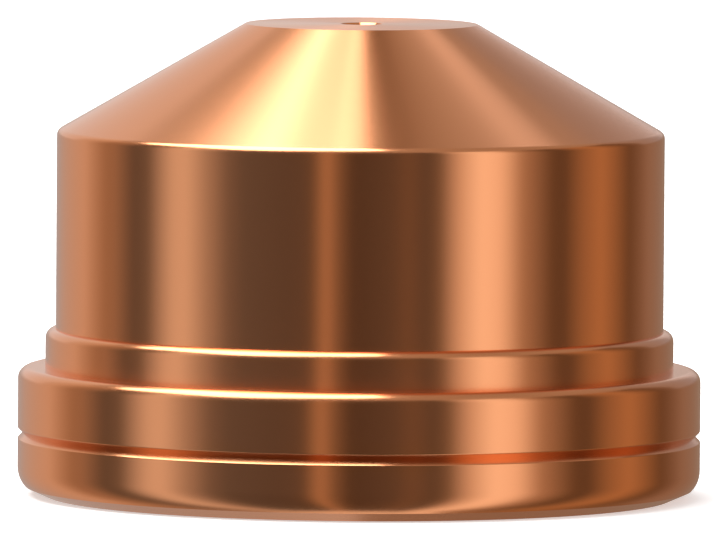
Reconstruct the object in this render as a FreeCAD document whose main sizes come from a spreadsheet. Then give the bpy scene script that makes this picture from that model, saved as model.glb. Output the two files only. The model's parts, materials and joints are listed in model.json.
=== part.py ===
import FreeCAD, Part
import math
import os
import Sketcher

# Plasma torch nozzle, turned from one bar of copper. It stands on its rear face.
# Z is the axis that it was turned on, and the origin is the centre of the rear face.
# Lengths are millimetres, angles are degrees, and every height is taken from the rear face.

doc = FreeCAD.newDocument("plasma_nozzle")

SIZES = (
    # name, value, what it is
    ("nozzle_length", 20.8, "rear face to front face"),
    ("body_diameter", 26.7, "cylinder that the retaining cap slides over"),
    ("face_diameter", 10.2, "flat front face round the orifice"),
    ("nose_slope", 30.0, "angle between the nose cone and the front face"),
    ("shoulder_round", 0.35, "where the nose cone meets the body"),
    ("step_width", 0.45, "step beyond the body, on the radius"),
    ("step_height", 1.7, "flange's ledge to the step's ledge"),
    ("step_round", 0.43, "front edge of the step, which leaves hardly any ledge"),
    ("flange_width", 1.2, "flange beyond the step, on the radius"),
    ("flange_height", 5.65, "rear face to the flange's ledge"),
    ("flange_round", 0.5, "front edge of the flange"),
    ("foot_round", 1.25, "rear edge of the flange"),
    ("foot_bevel_height", 0.4, "where the bevel cuts into the rounded rear edge"),
    ("mark_height", 2.75, "middle of the ring that is turned in the flange"),
    ("mark_width", 0.48, "mouth of that ring"),
    ("mark_depth", 0.24, "depth of that ring"),
    ("body_wall", 2.85, "copper between the rear bore and the body's outside"),
    ("rear_bore_depth", 9.0, "rear face to the seat of the gas distributor"),
    ("bore_chamfer", 0.5, "lead-in at the mouth of the rear bore"),
    ("seat_width", 3.0, "flat seat at the end of the rear bore, on the radius"),
    ("seat_chamfer", 0.3, "inner edge of the seat"),
    ("chamber_slope", 30.0, "angle between the chamber's cone and the front face"),
    ("orifice_diameter", 1.2, "arc orifice"),
    ("orifice_length", 2.3, "end of the chamber to the front face"),
    ("orifice_chamfer", 0.32, "break at the orifice's mouth"),
)

sheet = doc.addObject("Spreadsheet::Sheet", "sizes")
for row, (alias, value, meaning) in enumerate(SIZES, start=1):
    sheet.set(f"A{row}", alias)
    sheet.set(f"B{row}", str(value))
    sheet.set(f"C{row}", meaning)
    sheet.setAlias(f"B{row}", alias)
doc.recompute()

# Radii and heights that several features share, as the sketches' expressions read them.
BODY_RADIUS = "(sizes.body_diameter / 2)"
STEP_RADIUS = f"({BODY_RADIUS} + sizes.step_width)"
FLANGE_RADIUS = f"({STEP_RADIUS} + sizes.flange_width)"
FACE_RADIUS = "(sizes.face_diameter / 2)"
STEP_TOP = "(sizes.flange_height + sizes.step_height)"
SHOULDER_HEIGHT = (f"(sizes.nozzle_length - ({BODY_RADIUS} - {FACE_RADIUS})"
                   " * tan(sizes.nose_slope * 1 deg))")
BORE_RADIUS = f"({BODY_RADIUS} - sizes.body_wall)"
CHAMBER_RADIUS = f"({BORE_RADIUS} - sizes.seat_width)"
ORIFICE_RADIUS = "(sizes.orifice_diameter / 2)"
ORIFICE_START = "(sizes.nozzle_length - sizes.orifice_length)"
CHAMBER_CORNER = (f"({ORIFICE_START} - ({CHAMBER_RADIUS} - {ORIFICE_RADIUS})"
                  " * tan(sizes.chamber_slope * 1 deg))")


def evaluate(expression):
    """Value of an expression on the sheet."""
    result = sheet.evalExpression(expression)
    return float(getattr(result, "Value", result))


def bind(sketch, kind, name, expression, *where):
    """Dimension in a sketch, tied to the sheet."""
    number = sketch.addConstraint(Sketcher.Constraint(kind, *where, evaluate(expression)))
    sketch.renameConstraint(number, name)
    sketch.setExpression(f"Constraints.{name}", expression)


def cut_back(corner, before, after, rounding):
    """Where a rounded corner's arc begins and ends, and its centre. The outline turns left there."""
    arriving = (corner - before).normalize()
    leaving = (after - corner).normalize()
    reach = rounding * math.tan(arriving.getAngle(leaving) / 2)
    begin = corner - arriving * reach
    centre = begin + FreeCAD.Vector(-arriving.y, arriving.x, 0) * rounding
    return begin, corner + leaving * reach, centre


def half_section(body, name, corners):
    """Closed outline on the XZ plane, anticlockwise.

    A corner is its distance from the axis and its height, and, where it is rounded, its radius.
    A round is two arcs that meet halfway.
    """
    planes = {plane.Role: plane for plane in body.Origin.OriginFeatures}
    sketch = body.newObject("Sketcher::SketchObject", name)
    sketch.AttachmentSupport = [(planes["XZ_Plane"], "")]
    sketch.MapMode = "FlatFace"
    places = [FreeCAD.Vector(evaluate(out), evaluate(up), 0) for out, up, *_ in corners]
    rounds = [evaluate(rest[0]) if rest else 0.0 for _, _, *rest in corners]
    count = len(corners)
    turns = [cut_back(places[index], places[index - 1], places[(index + 1) % count], rounds[index])
             for index in range(count)]

    # Line N runs from corner N to the next one, so line N - 1 arrives at corner N.
    for index in range(count):
        sketch.addGeometry(Part.LineSegment(turns[index][1], turns[(index + 1) % count][0]), False)
    for index, (out, up, *rounding) in enumerate(corners):
        arriving = (index - 1) % count
        if not rounding:
            sketch.addConstraint(Sketcher.Constraint("Coincident", arriving, 2, index, 1))
            corner = (index, 1)
        else:
            begin, end, centre = turns[index]
            circle = Part.Circle(centre, FreeCAD.Vector(0, 0, 1), rounds[index])
            ends = [circle.parameter(place) for place in (begin, places[index], end)]
            arc, other = (sketch.addGeometry(Part.ArcOfCircle(circle, *span), False) for span in zip(ends, ends[1:]))
            sketch.addConstraint(Sketcher.Constraint("Tangent", arriving, 2, arc, 1))
            sketch.addConstraint(Sketcher.Constraint("Coincident", arc, 2, other, 1))
            sketch.addConstraint(Sketcher.Constraint("Coincident", arc, 3, other, 3))
            sketch.addConstraint(Sketcher.Constraint("Tangent", other, 2, index, 1))
            bind(sketch, "Radius", f"corner{index}_round", rounding[0], arc)
            # The line from corner to centre fixes both the corner and where the arcs meet.
            middle = sketch.addGeometry(Part.LineSegment(places[index], centre), True)
            sketch.addConstraint(Sketcher.Constraint("PointOnObject", middle, 1, arriving))
            sketch.addConstraint(Sketcher.Constraint("PointOnObject", middle, 1, index))
            sketch.addConstraint(Sketcher.Constraint("Coincident", middle, 2, arc, 3))
            sketch.addConstraint(Sketcher.Constraint("PointOnObject", arc, 2, middle))
            corner = (middle, 1)
        bind(sketch, "DistanceX", f"corner{index}_out", out, -1, 1, *corner)
        bind(sketch, "DistanceY", f"corner{index}_up", up, -1, 1, *corner)
    return sketch


def turn(body, kind, name, corners):
    """Revolution or Groove of a half section, all the way round Z."""
    before = body.Shape.Volume if body.Tip else 0.0
    sketch = half_section(body, f"{name}_section", corners)
    doc.recompute()
    if not sketch.FullyConstrained:
        raise RuntimeError(f"{sketch.Name} can still move")
    feature = body.newObject(f"PartDesign::{kind}", name)
    feature.Profile = sketch
    feature.ReferenceAxis = (sketch, ["V_Axis"])
    feature.Angle = 360.0
    doc.recompute()
    change = body.Shape.Volume - before
    if change == 0 or (kind == "Revolution") != (change > 0):
        raise RuntimeError(f"{name} changed the volume by {change}")
    return feature


def break_edge(body, name, out, up, size):
    """Chamfer on the round edge that lies at this distance from the axis and at this height."""
    base = body.Tip
    place = FreeCAD.Vector(evaluate(out), 0, evaluate(up))
    near = Part.Vertex(place)
    edge, = (f"Edge{number}" for number, ring in enumerate(base.Shape.Edges, start=1)
             if isinstance(ring.Curve, Part.Circle) and ring.distToShape(near)[0] < Part.Precision.confusion()
             and abs(ring.Curve.Center.z - place.z) < Part.Precision.confusion())
    feature = body.newObject("PartDesign::Chamfer", name)
    feature.Base = (base, [edge])
    feature.setExpression("Size", f"sizes.{size}")
    doc.recompute()
    return feature


nozzle = doc.addObject("PartDesign::Body", "nozzle_body")
nozzle.Label = "nozzle_body"

# The outside in one section: flange, step, body and nose. The front face keeps its sharp rim.
turn(nozzle, "Revolution", "blank", (
    ("0", "0"),
    (FLANGE_RADIUS, "0", "sizes.foot_round"),
    (FLANGE_RADIUS, "sizes.flange_height", "sizes.flange_round"),
    (STEP_RADIUS, "sizes.flange_height"),
    (STEP_RADIUS, STEP_TOP, "sizes.step_round"),
    (BODY_RADIUS, STEP_TOP),
    (BODY_RADIUS, SHOULDER_HEIGHT, "sizes.shoulder_round"),
    (FACE_RADIUS, "sizes.nozzle_length"),
    ("0", "sizes.nozzle_length"),
))

# The bevel is a chord of the rounded rear edge, from the bevel's height to the rear face.
FOOT_CENTRE = f"({FLANGE_RADIUS} - sizes.foot_round)"
BEVEL_RADIUS = (f"({FOOT_CENTRE} + sqrt(sizes.foot_round ^ 2"
                " - (sizes.foot_round - sizes.foot_bevel_height) ^ 2))")
turn(nozzle, "Groove", "foot_bevel", (
    (FOOT_CENTRE, "0"),
    (BEVEL_RADIUS, "0"),
    (BEVEL_RADIUS, "sizes.foot_bevel_height"),
))

# The ring in the flange is a V with sharp lips.
MARK_TOP = "(sizes.mark_height + sizes.mark_width / 2)"
MARK_FOOT = "(sizes.mark_height - sizes.mark_width / 2)"
turn(nozzle, "Groove", "mark_ring", (
    (f"({FLANGE_RADIUS} - sizes.mark_depth)", "sizes.mark_height"),
    (FLANGE_RADIUS, MARK_FOOT),
    (FLANGE_RADIUS, MARK_TOP),
))

# The inside in one section: rear bore, seat, arc chamber and orifice, all on the axis.
turn(nozzle, "Groove", "bore", (
    ("0", "0"),
    (BORE_RADIUS, "0"),
    (BORE_RADIUS, "sizes.rear_bore_depth"),
    (CHAMBER_RADIUS, "sizes.rear_bore_depth"),
    (CHAMBER_RADIUS, CHAMBER_CORNER),
    (ORIFICE_RADIUS, ORIFICE_START),
    (ORIFICE_RADIUS, "sizes.nozzle_length"),
    ("0", "sizes.nozzle_length"),
))
break_edge(nozzle, "bore_lead_in", BORE_RADIUS, "0", "bore_chamfer")
break_edge(nozzle, "seat_edge", CHAMBER_RADIUS, "sizes.rear_bore_depth", "seat_chamfer")
break_edge(nozzle, "orifice_mouth", ORIFICE_RADIUS, "sizes.nozzle_length", "orifice_chamfer")

doc.recompute()
for item in doc.Objects:
    if "Invalid" in item.State or "Error" in item.State:
        raise RuntimeError(f"{item.Label} failed: {item.State}")

shape = nozzle.Shape
if shape.isNull() or not shape.isValid() or len(shape.Solids) != 1:
    raise RuntimeError(f"{nozzle.Label} is not one valid solid")
os.makedirs("parts", exist_ok=True)
shape.exportStep(f"parts/{nozzle.Label}.step")
print(nozzle.Label, "volume", round(shape.Volume, 3))
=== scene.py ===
import json
import math

import bpy
from mathutils import Matrix, Vector


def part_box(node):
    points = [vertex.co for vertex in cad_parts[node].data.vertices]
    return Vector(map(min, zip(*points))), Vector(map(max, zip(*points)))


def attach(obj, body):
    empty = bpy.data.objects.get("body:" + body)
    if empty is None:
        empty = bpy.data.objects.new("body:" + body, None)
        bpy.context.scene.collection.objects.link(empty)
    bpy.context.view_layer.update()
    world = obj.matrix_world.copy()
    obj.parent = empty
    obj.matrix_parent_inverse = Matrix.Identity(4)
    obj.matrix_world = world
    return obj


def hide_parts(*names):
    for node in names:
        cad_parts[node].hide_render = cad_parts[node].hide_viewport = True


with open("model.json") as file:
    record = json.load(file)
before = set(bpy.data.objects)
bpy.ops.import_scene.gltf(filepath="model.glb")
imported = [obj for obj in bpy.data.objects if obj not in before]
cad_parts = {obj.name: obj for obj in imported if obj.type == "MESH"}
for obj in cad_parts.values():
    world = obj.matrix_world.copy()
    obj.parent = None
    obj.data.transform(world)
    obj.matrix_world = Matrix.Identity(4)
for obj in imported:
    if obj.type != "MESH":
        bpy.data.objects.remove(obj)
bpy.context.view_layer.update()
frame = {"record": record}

# ---------------------------------------------------------------------------------------
# Nozzle: one piece of copper, turned all over from bar, with a bored rear, a chamber and
# an arc orifice. Its half section is swept round the axis, finer than the frame's mesh,
# so that reflections run smoothly over its edges. Sizes are millimetres until the mesh.
# ---------------------------------------------------------------------------------------
MM = 0.001
MOUNTS = {mount["name"]: mount for mount in frame["record"]["mounts"]}
NOZZLE_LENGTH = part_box("nozzle_body")[1][2] / MM
FLANGE_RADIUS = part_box("nozzle_body")[1][0] / MM
FLANGE_HEIGHT = MOUNTS["flange_ledge"]["pos_m"][2] / MM
BODY_RADIUS = MOUNTS["cap_seat"]["dims"]["r_mm"]
BORE_RADIUS = MOUNTS["rear_bore"]["dims"]["r_mm"]
FACE_RADIUS = 5.1
NOSE_SLOPE = math.radians(30)
SHOULDER_HEIGHT = NOZZLE_LENGTH - (BODY_RADIUS - FACE_RADIUS) * math.tan(NOSE_SLOPE)
SHOULDER_ROUND = 0.35
STEP_RADIUS = BODY_RADIUS + 0.45
STEP_TOP = FLANGE_HEIGHT + 1.7
STEP_ROUND = 0.43
FLANGE_ROUND = 0.5
FOOT_ROUND = 1.25
FOOT_CENTRE = FLANGE_RADIUS - FOOT_ROUND
BEVEL_HEIGHT = 0.4
MARK_HEIGHT = 2.75
MARK_WIDTH = 0.48
MARK_DEPTH = 0.24
LIP_ROUND = 0.06
FACE_RIM_ROUND = 0.03
BORE_DEPTH = 9.0
BORE_CHAMFER = 0.5
CHAMBER_RADIUS = BORE_RADIUS - 3.0
SEAT_CHAMFER = 0.3
CHAMBER_SLOPE = math.radians(30)
ORIFICE_RADIUS = 0.6
ORIFICE_START = NOZZLE_LENGTH - 2.3
ORIFICE_CHAMFER = 0.32
CHAMBER_TOP = ORIFICE_START - (CHAMBER_RADIUS - ORIFICE_RADIUS) * math.tan(CHAMBER_SLOPE)
TURNED_SEGMENTS = 384
ARC_STEP = math.radians(7)
SUPPORT = 0.02
SHARP_ANGLE = math.radians(20)
SEAM_GAP = 1e-7
COPPER = (0.90, 0.38, 0.18, 1)
SHINE_ROUGHNESS = 0.2
SHINE_STRETCH = 0.8
ACROSS_THE_RINGS = 0.25


def half_section(corners):
    """Closed anticlockwise outline through corners of distance from the axis, height and rounding.

    A point at SUPPORT from each end of a straight run keeps the shading of its flat even.
    """
    stretches = []
    for index, (out, up, rounding) in enumerate(corners):
        corner = Vector((out, up))
        if rounding == 0:
            stretches.append([corner])
            continue
        arriving = (corner - Vector(corners[index - 1][:2])).normalized()
        leaving = (Vector(corners[(index + 1) % len(corners)][:2]) - corner).normalized()
        turn = math.atan2(arriving.cross(leaving), arriving.dot(leaving))
        begin = corner - arriving * rounding * math.tan(abs(turn) / 2)
        centre = begin + Vector((-arriving.y, arriving.x)) * math.copysign(rounding, turn)
        steps = math.ceil(abs(turn) / ARC_STEP)
        stretches.append([centre + Matrix.Rotation(turn * step / steps, 2) @ (begin - centre)
                          for step in range(steps + 1)])
    outline = []
    for index, stretch in enumerate(stretches):
        outline += stretch
        run = stretches[(index + 1) % len(stretches)][0] - stretch[-1]
        if run.length > 4 * SUPPORT:
            outline.append(stretch[-1] + run.normalized() * SUPPORT)
            outline.append(stretch[-1] + run - run.normalized() * SUPPORT)
    return outline


bevel_rise = math.acos(1 - BEVEL_HEIGHT / FOOT_ROUND)
wall_turn = math.pi / 2 - bevel_rise
section = half_section((
    (BORE_RADIUS + BORE_CHAMFER, 0, 0),
    (FOOT_CENTRE, 0, 0),
    (FOOT_CENTRE + FOOT_ROUND * math.sin(bevel_rise), BEVEL_HEIGHT, 0),
    (FLANGE_RADIUS, FOOT_ROUND * (1 - math.tan(wall_turn / 2)), FOOT_ROUND),
    (FLANGE_RADIUS, MARK_HEIGHT - MARK_WIDTH / 2, LIP_ROUND),
    (FLANGE_RADIUS - MARK_DEPTH, MARK_HEIGHT, 0),
    (FLANGE_RADIUS, MARK_HEIGHT + MARK_WIDTH / 2, LIP_ROUND),
    (FLANGE_RADIUS, FLANGE_HEIGHT, FLANGE_ROUND),
    (STEP_RADIUS, FLANGE_HEIGHT, 0),
    (STEP_RADIUS, STEP_TOP, STEP_ROUND),
    (BODY_RADIUS, STEP_TOP, 0),
    (BODY_RADIUS, SHOULDER_HEIGHT, SHOULDER_ROUND),
    (FACE_RADIUS, NOZZLE_LENGTH, FACE_RIM_ROUND),
    (ORIFICE_RADIUS + ORIFICE_CHAMFER, NOZZLE_LENGTH, 0),
    (ORIFICE_RADIUS, NOZZLE_LENGTH - ORIFICE_CHAMFER, 0),
    (ORIFICE_RADIUS, ORIFICE_START, 0),
    (CHAMBER_RADIUS, CHAMBER_TOP, 0),
    (CHAMBER_RADIUS, BORE_DEPTH + SEAT_CHAMFER, 0),
    (CHAMBER_RADIUS + SEAT_CHAMFER, BORE_DEPTH, 0),
    (BORE_RADIUS, BORE_DEPTH, 0),
    (BORE_RADIUS, BORE_CHAMFER, 0),
))


def node(tree, kind, inputs=(), **settings):
    """Adds a node. An input is a socket to link or a plain value, by name or number."""
    made = tree.nodes.new(kind)
    for name, value in settings.items():
        setattr(made, name, value)
    for name, value in dict(inputs).items():
        socket = made.inputs[name]
        if isinstance(value, bpy.types.NodeSocket):
            tree.links.new(value, socket)
        else:
            socket.default_value = value
    return made


def maths(tree, operation, *values):
    return node(tree, "ShaderNodeMath", enumerate(values), operation=operation).outputs[0]


def lathe_tree():
    """Sweeps an outline's points round Z. Edges that bend by the sharp angle or more stay sharp."""
    tree = bpy.data.node_groups.new("lathe", "GeometryNodeTree")
    face = tree.interface
    face.new_socket("Outline", in_out="INPUT", socket_type="NodeSocketGeometry")
    face.new_socket("Segments", in_out="INPUT", socket_type="NodeSocketInt")
    face.new_socket("Sharp Angle", in_out="INPUT", socket_type="NodeSocketFloat")
    face.new_socket("Finish", in_out="INPUT", socket_type="NodeSocketMaterial")
    face.new_socket("Turned", in_out="OUTPUT", socket_type="NodeSocketGeometry")
    given = node(tree, "NodeGroupInput").outputs
    position = node(tree, "GeometryNodeInputPosition").outputs[0]
    counted = node(tree, "GeometryNodeAttributeDomainSize", {"Geometry": given["Outline"]})
    rows = counted.outputs["Point Count"]
    sheet = node(tree, "GeometryNodeMeshGrid", {
        "Size X": given["Segments"],
        "Size Y": rows,
        "Vertices X": maths(tree, "ADD", given["Segments"], 1),
        "Vertices Y": maths(tree, "ADD", rows, 1)})

    # The sheet is a grid of whole steps about its middle, which say column and row.
    place = node(tree, "ShaderNodeSeparateXYZ", {0: position}).outputs
    column = maths(tree, "ADD", place["X"], maths(tree, "MULTIPLY", given["Segments"], 0.5))
    row = maths(tree, "ROUND", maths(tree, "ADD", place["Y"], maths(tree, "MULTIPLY", rows, 0.5)))
    point = node(tree, "GeometryNodeSampleIndex", {
        "Geometry": given["Outline"],
        "Value": position,
        "Index": maths(tree, "MODULO", row, rows)}, data_type="FLOAT_VECTOR", domain="POINT")
    section_at = node(tree, "ShaderNodeSeparateXYZ", {0: point.outputs["Value"]}).outputs
    share = maths(tree, "DIVIDE", column, given["Segments"])
    angle = maths(tree, "MULTIPLY", share, 2 * math.pi)
    swept = node(tree, "ShaderNodeCombineXYZ", {
        "X": maths(tree, "MULTIPLY", section_at["X"], maths(tree, "COSINE", angle)),
        "Y": maths(tree, "MULTIPLY", section_at["X"], maths(tree, "SINE", angle)),
        "Z": section_at["Z"]})
    turned = node(tree, "GeometryNodeSetPosition",
                  {"Geometry": sheet.outputs["Mesh"], "Position": swept.outputs[0]})
    closed = node(tree, "GeometryNodeMergeByDistance",
                  {"Geometry": turned.outputs[0], "Distance": SEAM_GAP})
    smooth = node(tree, "GeometryNodeSetShadeSmooth",
                  {"Geometry": closed.outputs[0], "Shade Smooth": True}, domain="FACE")
    bend = node(tree, "GeometryNodeInputMeshEdgeAngle").outputs["Unsigned Angle"]
    soft = node(tree, "FunctionNodeCompare", {"A": bend, "B": given["Sharp Angle"]},
                data_type="FLOAT", operation="LESS_THAN")
    edged = node(tree, "GeometryNodeSetShadeSmooth",
                 {"Geometry": smooth.outputs[0], "Shade Smooth": soft.outputs["Result"]}, domain="EDGE")
    whole = node(tree, "GeometryNodeRealizeInstances", {"Geometry": edged.outputs[0]})
    finished = node(tree, "GeometryNodeSetMaterial",
                    {"Geometry": whole.outputs[0], "Material": given["Finish"]})
    node(tree, "NodeGroupOutput", {"Turned": finished.outputs[0]})
    return tree


def turned_copper():
    """Bare copper, which shines along the fine rings that the tool leaves and not across them."""
    material = bpy.data.materials.new("turned_copper")
    material.use_nodes = True
    tree = material.node_tree
    shader = tree.nodes["Principled BSDF"]
    shader.inputs["Metallic"].default_value = 1.0
    shader.inputs["Base Color"].default_value = COPPER
    shader.inputs["Roughness"].default_value = SHINE_ROUGHNESS
    shader.inputs["Anisotropic"].default_value = SHINE_STRETCH
    shader.inputs["Anisotropic Rotation"].default_value = ACROSS_THE_RINGS
    rings = node(tree, "ShaderNodeTangent", direction_type="RADIAL", axis="Z")
    tree.links.new(rings.outputs[0], shader.inputs["Tangent"])
    return material


outline_mesh = bpy.data.meshes.new("nozzle_outline")
outline_mesh.from_pydata([(out * MM, 0, up * MM) for out, up in section], [], [])
blank = bpy.data.objects.new("nozzle_blank", outline_mesh)
bpy.context.scene.collection.objects.link(blank)
lathe = blank.modifiers.new("lathe", "NODES")
lathe.node_group = lathe_tree()
settings = {"Segments": TURNED_SEGMENTS, "Sharp Angle": SHARP_ANGLE, "Finish": turned_copper()}
for socket in lathe.node_group.interface.items_tree:
    if socket.name in settings:
        lathe[socket.identifier] = settings[socket.name]
bpy.context.view_layer.update()
turned_blank = blank.evaluated_get(bpy.context.evaluated_depsgraph_get())
turned_mesh = bpy.data.meshes.new_from_object(turned_blank)
turned_mesh.name = "turned_nozzle"
nozzle = bpy.data.objects.new("turned_nozzle", turned_mesh)
bpy.context.scene.collection.objects.link(nozzle)
bpy.data.objects.remove(blank)
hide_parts("nozzle_body")
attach(nozzle, "root")

# ---------------------------------------------------------------------------------------
# Camera: a long lens a good way off, a little above the nozzle and looking down on it.
# It is turned slightly about its own line of sight. Lengths are metres from here on.
# ---------------------------------------------------------------------------------------
CAMERA_DISTANCE = 0.8785
CAMERA_HEIGHT = 0.0700
CAMERA_PITCH = math.radians(3.908)
CAMERA_ROLL = math.radians(0.40)
camera_data = bpy.data.cameras.new("camera")
camera_data.sensor_width = 36
camera_data.lens = 1002.3
camera = bpy.data.objects.new("camera", camera_data)
bpy.context.scene.collection.objects.link(camera)
camera.matrix_world = (Matrix.Translation((0, -CAMERA_DISTANCE, CAMERA_HEIGHT))
                       @ Matrix.Rotation(math.pi / 2 - CAMERA_PITCH, 4, "X")
                       @ Matrix.Rotation(CAMERA_ROLL, 4, "Z"))
bpy.context.scene.camera = camera

# ---------------------------------------------------------------------------------------
# Floor: a wide sheet of pale paper that the nozzle stands on. A glow that only the camera
# sees brings it up to white, and it keeps the nozzle's shadow. The copper doesn't see it.
# ---------------------------------------------------------------------------------------
FLOOR_REACH = 3.0
PAPER = (0.9, 0.9, 0.9, 1)
WHITE = (1, 1, 1, 1)
PAPER_GLOW = 0.5


def seen_directly(tree):
    """1 for rays from the camera or by way of metal and glass, and 0 for the rest."""
    rays = node(tree, "ShaderNodeLightPath").outputs
    mirrored = maths(tree, "MAXIMUM", rays["Is Glossy Ray"], rays["Is Transmission Ray"])
    return maths(tree, "MAXIMUM", rays["Is Camera Ray"], mirrored)


floor_mesh = bpy.data.meshes.new("floor")
floor_corners = [(-FLOOR_REACH, -FLOOR_REACH, 0), (FLOOR_REACH, -FLOOR_REACH, 0),
                 (FLOOR_REACH, FLOOR_REACH, 0), (-FLOOR_REACH, FLOOR_REACH, 0)]
floor_mesh.from_pydata(floor_corners, [], [(0, 1, 2, 3)])
floor = bpy.data.objects.new("floor", floor_mesh)
bpy.context.scene.collection.objects.link(floor)
floor.visible_glossy = False
paper = bpy.data.materials.new("white_paper")
paper.use_nodes = True
tree = paper.node_tree
tree.nodes.clear()
glow = node(tree, "ShaderNodeEmission", {
    "Color": WHITE, "Strength": maths(tree, "MULTIPLY", seen_directly(tree), PAPER_GLOW)})
matt = node(tree, "ShaderNodeBsdfDiffuse", {"Color": PAPER})
both = node(tree, "ShaderNodeAddShader", {0: glow.outputs[0], 1: matt.outputs[0]})
node(tree, "ShaderNodeOutputMaterial", {"Surface": both.outputs[0]})
floor_mesh.materials.append(paper)

# ---------------------------------------------------------------------------------------
# Light tent: cloth all round the nozzle in upright bands, with cards behind and a roof.
# Only the copper sees it, so it draws the bands on the metal and lights nothing else.
# ---------------------------------------------------------------------------------------
TENT_RADIUS = 0.5
CARD_RADIUS = TENT_RADIUS * 0.9
ROOF_RADIUS = TENT_RADIUS * 1.05
TENT = (
    # azimuth, brightness, warmth from 0 white to 1 orange
    (-180, 0.60, 0.2), (-168, 0.42, 0.1), (-150, 0.55, 0.3), (-128, 0.66, 0.35),
    (-112, 0.36, 0.6), (-106, 0.34, 0.5), (-95, 0.12, 0.1), (-87, 0.16, 0.1),
    (-75, 0.72, 0.0), (-69, 0.76, 0.0), (-60, 0.42, 0.1), (-51, 0.17, 0.1),
    (-44, 0.11, 0.0), (-28, 0.10, 0.2), (-18, 0.11, 0.3), (-12.5, 0.50, 0.7),
    (-8, 0.20, 0.6), (-3, 0.08, 0.5), (12, 0.12, 0.4), (18, 0.18, 0.6),
    (25, 0.11, 0.3), (30, 0.17, 0.4), (38, 0.75, 0.2), (46, 1.15, 0.0),
    (54, 1.05, 0.1), (63, 0.45, 0.5), (77, 0.14, 0.7), (83, 0.12, 0.6),
    (92, 0.32, 0.8), (103, 0.48, 0.9), (122, 0.15, 0.8), (140, 0.30, 0.6),
)
WARM = (1.0, 0.62, 0.30)
CARDS = (
    # name, azimuths, elevations, brightness, tint
    ("left_back_card", (-200, -130), (2, 45), 0.75, (1.0, 0.95, 0.92)),
    ("back_strip_left", (-173, -158), (46, 72), 1.3, (1.0, 1.0, 0.95)),
    ("back_flag", (165, 178), (54, 72), 0.12, (1.0, 0.5, 0.1)),
    ("back_strip_right", (146, 170), (46, 55), 1.0, (1.0, 0.98, 1.0)),
    ("right_back_card", (130, 178), (2, 42), 0.36, (1.0, 0.95, 0.95)),
)
CARD_FADE = 0.15
ROOF_FADE = 0.0001


def patch(name, azimuths, elevations, radius, columns=96, rows=24):
    """A piece of a sphere round the nozzle. Azimuth 0 is to the front and +90 to the right."""
    vertices = []
    for row in range(rows + 1):
        rise = math.radians(elevations[0] + (elevations[1] - elevations[0]) * row / rows)
        for column in range(columns + 1):
            swing = math.radians(azimuths[0] + (azimuths[1] - azimuths[0]) * column / columns)
            vertices.append((radius * math.cos(rise) * math.sin(swing),
                             -radius * math.cos(rise) * math.cos(swing),
                             radius * math.sin(rise)))
    wide = columns + 1
    corners = [row * wide + column for row in range(rows) for column in range(columns)]
    faces = [(corner, corner + 1, corner + wide + 1, corner + wide) for corner in corners]
    mesh = bpy.data.meshes.new(name)
    mesh.from_pydata(vertices, [], faces)
    sheet = mesh.uv_layers.new(name="place")
    for face in mesh.polygons:
        for corner, vertex in zip(face.loop_indices, face.vertices):
            sheet.data[corner].uv = (vertex % wide / columns, vertex // wide / rows)
    made = bpy.data.objects.new(name, mesh)
    bpy.context.scene.collection.objects.link(made)
    made.visible_camera = False
    made.visible_diffuse = False
    made.visible_shadow = False
    made.visible_transmission = False
    return made


def place_on_patch(tree):
    """Sockets X and Y, from 0 to 1 across and up a patch."""
    sheet = node(tree, "ShaderNodeUVMap", uv_map="place")
    return node(tree, "ShaderNodeSeparateXYZ", {0: sheet.outputs[0]}).outputs


def banded_cloth():
    """Cloth whose brightness and warmth run from band to band as TENT says."""
    material = bpy.data.materials.new("tent_bands")
    material.use_nodes = True
    tree = material.node_tree
    tree.nodes.clear()
    ramp = node(tree, "ShaderNodeValToRGB", {0: place_on_patch(tree)["X"]})
    stops = ramp.color_ramp.elements
    for index, (azimuth, brightness, warmth) in enumerate(TENT):
        place = (azimuth + 180) / 360
        stop = stops[index] if index < 2 else stops.new(place)
        stop.position = place
        stop.color = [brightness * (1 - warmth + warmth * tint) for tint in WARM] + [1]
    glow = node(tree, "ShaderNodeEmission", {"Color": ramp.outputs[0], "Strength": 1.0})
    node(tree, "ShaderNodeOutputMaterial", {"Surface": glow.outputs[0]})
    return material


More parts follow.
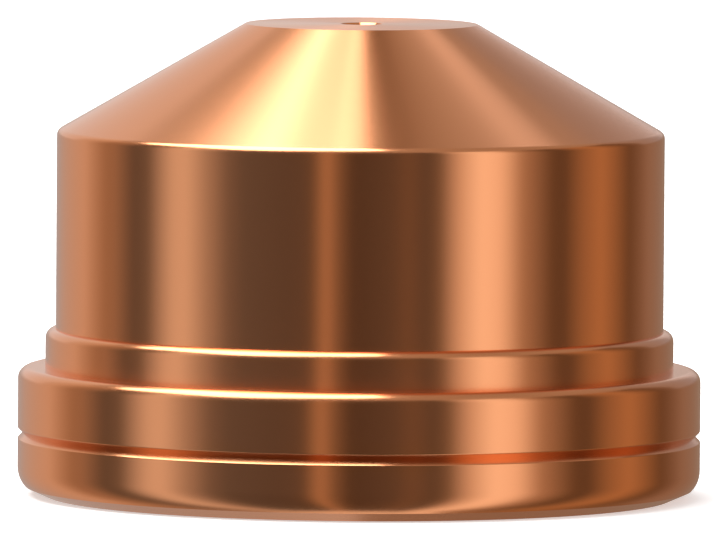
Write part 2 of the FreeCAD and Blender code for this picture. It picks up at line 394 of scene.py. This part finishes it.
def glowing(name, brightness, tint, fade):
    """Light from a card that fades to nothing within this share of its edges."""
    material = bpy.data.materials.new(name)
    material.use_nodes = True
    tree = material.node_tree
    tree.nodes.clear()
    place = place_on_patch(tree)
    eases = []
    for axis in ("X", "Y"):
        edge = maths(tree, "MINIMUM", place[axis], maths(tree, "SUBTRACT", 1, place[axis]))
        ease = node(tree, "ShaderNodeMapRange", {0: edge, 1: 0.0, 2: fade, 3: 0.0, 4: 1.0},
                    interpolation_type="SMOOTHSTEP")
        eases.append(ease.outputs[0])
    glow = node(tree, "ShaderNodeEmission", {"Color": (*tint, 1), "Strength": brightness})
    clear = node(tree, "ShaderNodeBsdfTransparent")
    mixed = node(tree, "ShaderNodeMixShader",
                 {0: maths(tree, "MULTIPLY", *eases), 1: clear.outputs[0], 2: glow.outputs[0]})
    node(tree, "ShaderNodeOutputMaterial", {"Surface": mixed.outputs[0]})
    return material


tent = patch("tent", (-180, 180), (-75, 38), TENT_RADIUS, columns=180, rows=48)
tent.data.materials.append(banded_cloth())
for name, azimuths, elevations, brightness, tint in CARDS:
    card = patch(name, azimuths, elevations, CARD_RADIUS)
    card.data.materials.append(glowing(name, brightness, tint, CARD_FADE))
roof = patch("roof", (-180, 180), (36, 90), ROOF_RADIUS)
roof.data.materials.append(glowing("roof", 0.42, (1.0, 0.9, 0.8), ROOF_FADE))

# ---------------------------------------------------------------------------------------
# Softbox and surroundings: a large soft lamp overhead, a little to the left, and a plain
# white room. The room lights at half the strength at which it is seen.
# ---------------------------------------------------------------------------------------
SOFTBOX_WIDTH = 0.5
SOFTBOX_DEPTH = 0.4
SOFTBOX_POWER = 3.0
SOFTBOX_PLACE = Vector((-0.35, -0.05, 0.93)) * 0.45
ROOM_LIGHT = 0.5
softbox_data = bpy.data.lights.new("overhead_softbox", "AREA")
softbox_data.shape = "RECTANGLE"
softbox_data.size = SOFTBOX_WIDTH
softbox_data.size_y = SOFTBOX_DEPTH
softbox_data.energy = SOFTBOX_POWER
softbox = bpy.data.objects.new("overhead_softbox", softbox_data)
bpy.context.scene.collection.objects.link(softbox)
softbox.location = SOFTBOX_PLACE
softbox.rotation_euler = (-SOFTBOX_PLACE).to_track_quat("-Z", "Y").to_euler()

room = bpy.data.worlds.new("world")
bpy.context.scene.world = room
room.use_nodes = True
tree = room.node_tree
tree.nodes.clear()
strength = maths(tree, "MULTIPLY_ADD", seen_directly(tree), 1 - ROOM_LIGHT, ROOM_LIGHT)
sky = node(tree, "ShaderNodeBackground", {"Color": WHITE, "Strength": strength})
node(tree, "ShaderNodeOutputWorld", {"Surface": sky.outputs[0]})

bpy.context.scene.view_settings.view_transform = "Standard"
